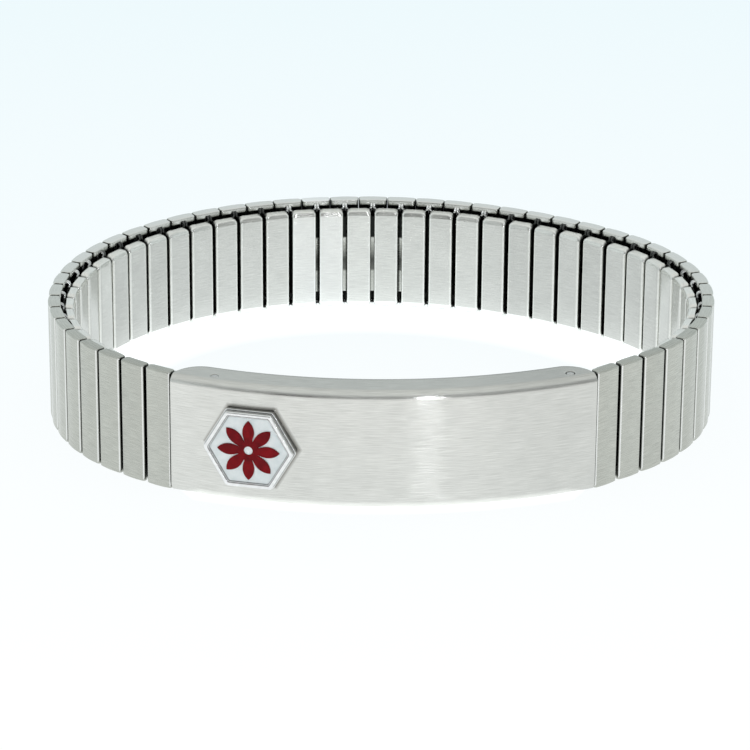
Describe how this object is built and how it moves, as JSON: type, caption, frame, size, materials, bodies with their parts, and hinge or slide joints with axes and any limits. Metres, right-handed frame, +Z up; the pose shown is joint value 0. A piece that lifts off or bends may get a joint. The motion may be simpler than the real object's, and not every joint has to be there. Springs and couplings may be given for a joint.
{
  "type": "expansion bracelet",
  "caption": "Stretch bracelet of steel sleeve links in two staggered rows, with a curved name plate carrying a small hexagonal enamel badge.",
  "frame": {"origin": "on the surface that the lower edge stands on, under the middle of the bracelet's box", "axes": "+Z up along the band's height, the plate faces -Y, +X runs to the right along the plate"},
  "size_m": [0.0692, 0.0547, 0.0127],
  "materials": {
    "plate_steel": "fine satin brushing along the plate",
    "link_steel": "fine satin brushing, bright edges",
    "bail_wire": "plain drawn wire",
    "badge_metal": "polished",
    "enamel_white": "glossy enamel",
    "enamel_red": "glossy enamel"
  },
  "bodies": {
    "root": {"id_plate": "plate_steel", "badge_frame": "badge_metal", "badge_ground": "enamel_white", "badge_rosette": "enamel_red", "outer_links": "link_steel", "inner_links": "link_steel", "link_bails": "bail_wire", "right_end_link": "link_steel", "left_end_link": "link_steel", "right_pin": "bail_wire", "left_pin": "bail_wire"}
  },
  "joints": []
}
